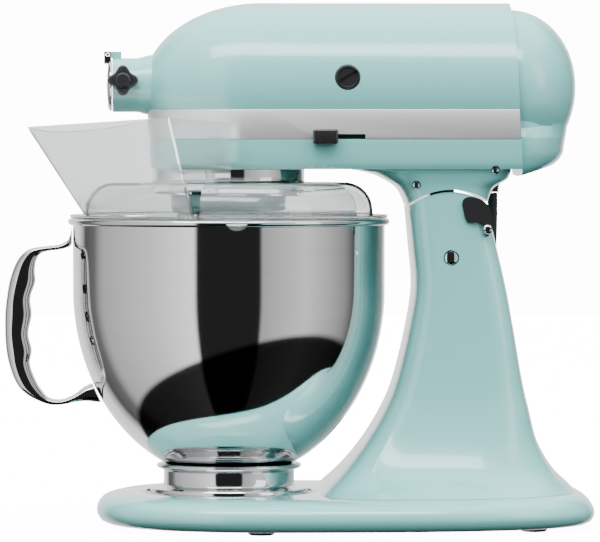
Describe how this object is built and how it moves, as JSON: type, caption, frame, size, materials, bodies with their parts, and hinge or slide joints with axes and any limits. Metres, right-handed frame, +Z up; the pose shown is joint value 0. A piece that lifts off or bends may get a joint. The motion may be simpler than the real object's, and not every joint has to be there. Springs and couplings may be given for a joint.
{
  "type": "stand mixer",
  "caption": "Tilt-head stand mixer with a polished steel bowl, a clear pouring shield, an attachment hub and a planetary drive inside a painted cast housing.",
  "frame": {"origin": "under the middle of the mixer, with its bowl handle, on the surface that its feet stand on", "axes": "+Z up; -X towards the front, where the attachment hub is; +Y towards the mixer's right side as seen from behind it"},
  "size_m": [0.4062, 0.3387, 0.3602],
  "materials": {
    "mint_paint": "glossy mint green paint",
    "polished_steel": "polished stainless steel",
    "satin_trim": "satin metal trim",
    "chrome": "chrome plated",
    "clear_plastic": "clear moulded plastic",
    "black_plastic": "black moulded plastic",
    "black_rubber": "black rubber",
    "gear_steel": "machined steel",
    "cast_aluminium": "cast aluminium",
    "copper": "copper and bronze",
    "carbon": "carbon"
  },
  "bodies": {
    "stand": {"pedestal": "mint_paint", "rubber_foot_1": "black_rubber", "rubber_foot_2": "black_rubber", "rubber_foot_3": "black_rubber", "rubber_foot_4": "black_rubber", "rubber_foot_5": "black_rubber", "bowl_clamp_plate": "polished_steel", "clamp_plate_screw_1": "chrome", "clamp_plate_screw_2": "chrome", "clamp_plate_screw_3": "chrome", "hinge_pin": "chrome", "hinge_gap_cover": "black_plastic", "gap_cover_screw": "chrome", "cord_run": "black_rubber", "cord_coil": "black_rubber", "plug": "black_rubber"},
    "head": {"upper_housing": "mint_paint", "lower_housing": "mint_paint", "housing_screw_left_front": "chrome", "housing_screw_left_rear": "chrome", "housing_screw_right_front": "chrome", "housing_screw_right_rear": "chrome", "trim_band": "satin_trim", "rear_cover": "mint_paint", "rear_cover_screw": "chrome", "hub_cover_pin": "gear_steel", "motor_field": "gear_steel", "motor_end_bracket": "cast_aluminium", "carbon_brush_left": "carbon", "carbon_brush_right": "carbon", "brush_cap_left": "black_plastic", "brush_cap_right": "black_plastic", "ring_gear": "gear_steel", "gear_frame": "cast_aluminium", "drip_ring": "polished_steel", "strain_relief": "black_rubber"},
    "armature": {"armature_shaft": "gear_steel", "armature_core": "gear_steel", "commutator": "copper", "cooling_fan": "black_plastic"},
    "step_gear": {"step_pinion": "gear_steel", "worm_wheel": "copper"},
    "planetary": {"planetary": "mint_paint", "centre_shaft": "gear_steel", "centre_gear": "gear_steel", "centre_bevel_gear": "gear_steel"},
    "agitator": {"agitator_pinion": "gear_steel", "agitator_shaft": "polished_steel", "agitator_pin": "polished_steel"},
    "hub_drive": {"hub_drive_gear": "gear_steel"},
    "hub_cover": {"hub_cover": "chrome"},
    "hub_screw": {"hub_screw": "gear_steel"},
    "hub_knob": {"hub_knob": "black_plastic"},
    "lock_lever": {"lock_lever": "black_plastic"},
    "speed_lever": {"speed_lever": "black_plastic"},
    "bowl": {"bowl_shell": "polished_steel", "bowl_foot": "polished_steel", "bowl_handle": "polished_steel"},
    "shield": {"shield_collar": "clear_plastic", "shield_chute": "clear_plastic"}
  },
  "joints": [
    {"name": "head_tilt", "type": "hinge", "parent": "stand", "child": "head", "pos_m": [0.10215, 0, 0.1856], "axis": [0, 1, 0], "range_deg": [0, 40], "deforming": ["cord_run"]},
    {"name": "lock_lever", "type": "slide", "parent": "head", "child": "lock_lever", "axis": [1, 0, 0], "range_m": [0, 0.0189]},
    {"name": "speed_lever", "type": "slide", "parent": "head", "child": "speed_lever", "axis": [1, 0, 0], "range_m": [0, 0.045]},
    {"name": "armature_spin", "type": "hinge", "parent": "head", "child": "armature", "pos_m": [0.05145, 0, 0.3084], "axis": [1, 0, 0], "continuous": true},
    {"name": "step_gear_turn", "type": "hinge", "parent": "head", "child": "step_gear", "pos_m": [-0.01931, -0.021, 0.266], "axis": [0, 0, 1], "continuous": true},
    {"name": "planetary_turn", "type": "hinge", "parent": "head", "child": "planetary", "pos_m": [-0.04855, 0, 0.229], "axis": [0, 0, 1], "continuous": true},
    {"name": "agitator_turn", "type": "hinge", "parent": "planetary", "child": "agitator", "pos_m": [-0.07555, 0, 0.229], "axis": [0, 0, 1], "continuous": true},
    {"name": "hub_drive_turn", "type": "hinge", "parent": "head", "child": "hub_drive", "pos_m": [-0.07855, 0, 0.3036], "axis": [1, 0, 0], "continuous": true},
    {"name": "hub_cover", "type": "hinge", "parent": "head", "child": "hub_cover", "pos_m": [-0.13195, 0, 0.3246], "axis": [0, 1, 0], "range_deg": [0, 110]},
    {"name": "hub_screw", "type": "slide", "parent": "head", "child": "hub_screw", "axis": [0, -1, 0], "range_m": [0, 0.0031]},
    {"name": "hub_knob", "type": "hinge", "parent": "hub_screw", "child": "hub_knob", "pos_m": [-0.12145, -0.0186, 0.3066], "axis": [0, -1, 0], "range_deg": [0, 720]},
    {"name": "bowl_twist", "type": "hinge", "parent": "stand", "child": "bowl", "pos_m": [-0.04855, 0, 0], "axis": [0, 0, 1], "range_deg": [0, 20]},
    {"name": "shield_turn", "type": "hinge", "parent": "bowl", "child": "shield", "pos_m": [-0.04855, 0, 0.2122], "axis": [0, 0, 1], "range_deg": [-8, 8]}
  ],
  "couplings": [
    {"joint": "step_gear_turn", "follows": "armature_spin", "ratio": 0.1},
    {"joint": "planetary_turn", "follows": "armature_spin", "ratio": -0.05},
    {"joint": "agitator_turn", "follows": "armature_spin", "ratio": 0.14},
    {"joint": "hub_drive_turn", "follows": "armature_spin", "ratio": 0.05},
    {"joint": "hub_screw", "follows": "hub_knob", "m_per_rad": 0.00023873}
  ]
}
